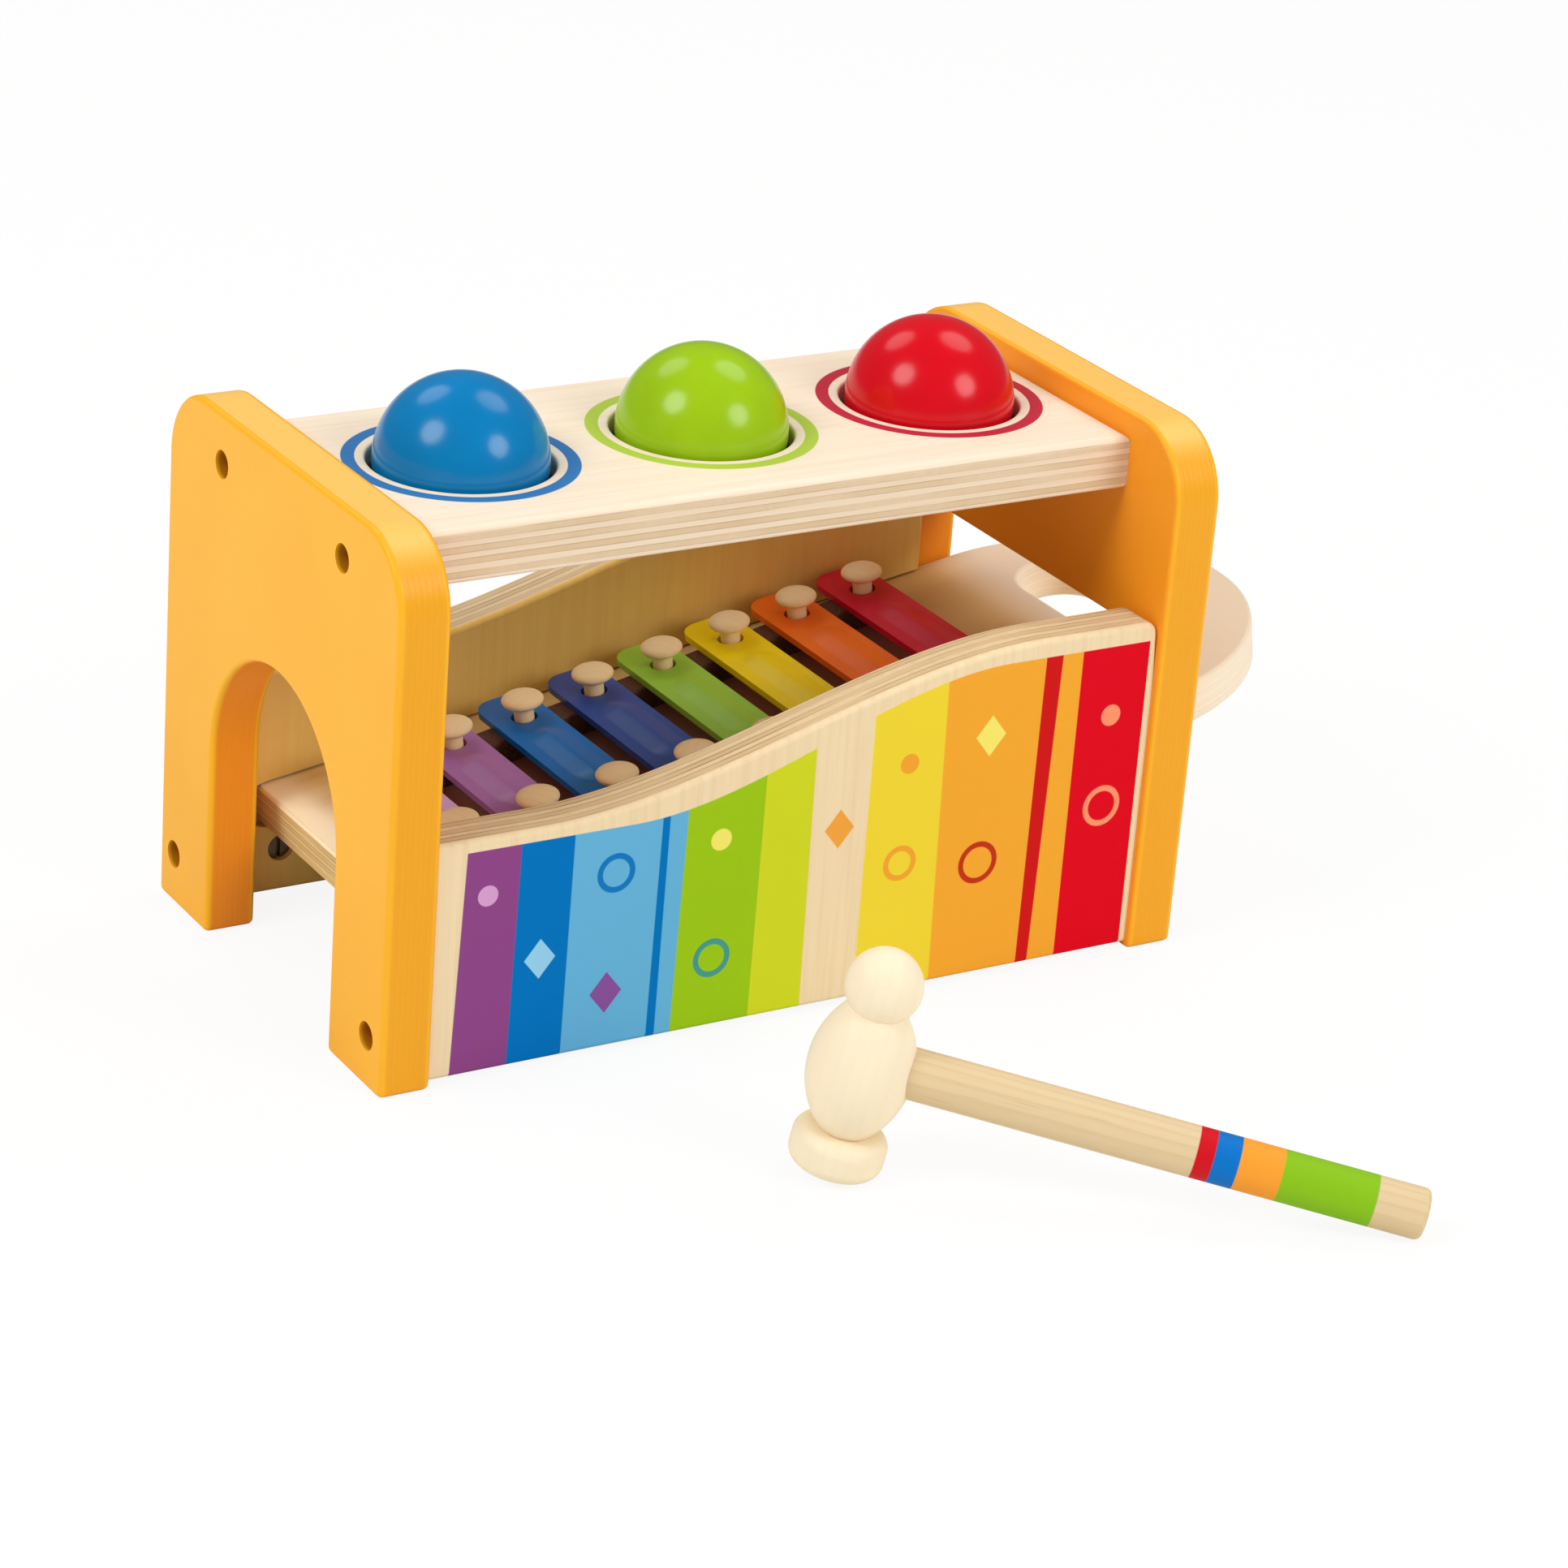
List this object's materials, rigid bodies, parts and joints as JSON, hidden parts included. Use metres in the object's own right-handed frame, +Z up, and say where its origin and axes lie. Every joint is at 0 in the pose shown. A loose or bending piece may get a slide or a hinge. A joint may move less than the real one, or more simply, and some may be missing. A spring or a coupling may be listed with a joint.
{
  "type": "peg pounding bench with xylophone",
  "caption": "Wooden pounding bench: balls are knocked through a plank onto a sloping slide-out xylophone, roll out by an arch, and a turned mallet goes with it.",
  "frame": {"origin": "centre of the bench's footprint, on the floor under it", "axes": "+X along the bench towards the xylophone's grip, +Y to the back, +Z up"},
  "size_m": [0.2919, 0.2967, 0.1615],
  "materials": {
    "end_panel_paint": "satin orange-yellow paint on plywood",
    "birch_ply": "clear satin lacquer on birch plywood",
    "turned_wood": "clear satin lacquer on turned hardwood",
    "bolt_steel": "zinc-plated steel",
    "felt": "pressed felt",
    "ring_rubber": "matt rubber",
    "red_key_paint": "gloss enamel on steel",
    "orange_key_paint": "gloss enamel on steel",
    "yellow_key_paint": "gloss enamel on steel",
    "green_key_paint": "gloss enamel on steel",
    "navy_key_paint": "gloss enamel on steel",
    "blue_key_paint": "gloss enamel on steel",
    "purple_key_paint": "gloss enamel on steel",
    "lilac_key_paint": "gloss enamel on steel",
    "blue_ball_paint": "gloss lacquer on turned wood",
    "green_ball_paint": "gloss lacquer on turned wood",
    "red_ball_paint": "gloss lacquer on turned wood"
  },
  "bodies": {
    "bench": {"left_end_panel": "end_panel_paint", "right_end_panel": "end_panel_paint", "top_plank": "birch_ply", "front_panel": "birch_ply", "back_panel": "birch_ply", "left_end_bolts": "bolt_steel", "right_end_bolts": "bolt_steel", "left_barrel_nuts": "bolt_steel", "right_barrel_nuts": "bolt_steel", "blue_ball_ring": "ring_rubber", "green_ball_ring": "ring_rubber", "red_ball_ring": "ring_rubber"},
    "xylophone": {"xylophone_board": "birch_ply", "back_felt_rail": "felt", "front_felt_rail": "felt", "red_key": "red_key_paint", "red_back_peg": "turned_wood", "red_front_peg": "turned_wood", "orange_key": "orange_key_paint", "orange_back_peg": "turned_wood", "orange_front_peg": "turned_wood", "yellow_key": "yellow_key_paint", "yellow_back_peg": "turned_wood", "yellow_front_peg": "turned_wood", "green_key": "green_key_paint", "green_back_peg": "turned_wood", "green_front_peg": "turned_wood", "navy_key": "navy_key_paint", "navy_back_peg": "turned_wood", "navy_front_peg": "turned_wood", "blue_key": "blue_key_paint", "blue_back_peg": "turned_wood", "blue_front_peg": "turned_wood", "purple_key": "purple_key_paint", "purple_back_peg": "turned_wood", "purple_front_peg": "turned_wood", "lilac_key": "lilac_key_paint", "lilac_back_peg": "turned_wood", "lilac_front_peg": "turned_wood"},
    "blue_ball": {"blue_ball": "blue_ball_paint"},
    "green_ball": {"green_ball": "green_ball_paint"},
    "red_ball": {"red_ball": "red_ball_paint"},
    "mallet": {"mallet_head": "turned_wood", "mallet_handle": "turned_wood"}
  },
  "joints": [
    {"name": "xylophone_slide", "type": "slide", "parent": "bench", "child": "xylophone", "axis": [0.9867, 0, 0.1623], "range_m": [0, 0.225]},
    {"name": "blue_ball_drop", "type": "slide", "parent": "bench", "child": "blue_ball", "axis": [0, 0, -1], "range_m": [-0.05, 0.0676], "deforming": ["blue_ball_ring"]},
    {"name": "green_ball_drop", "type": "slide", "parent": "bench", "child": "green_ball", "axis": [0, 0, -1], "range_m": [-0.05, 0.0555], "deforming": ["green_ball_ring"]},
    {"name": "red_ball_drop", "type": "slide", "parent": "bench", "child": "red_ball", "axis": [0, 0, -1], "range_m": [-0.05, 0.0443], "deforming": ["red_ball_ring"]},
    {"name": "mallet_lift", "type": "slide", "parent": "bench", "child": "mallet", "axis": [0, 0, 1], "range_m": [0, 0.15]}
  ]
}
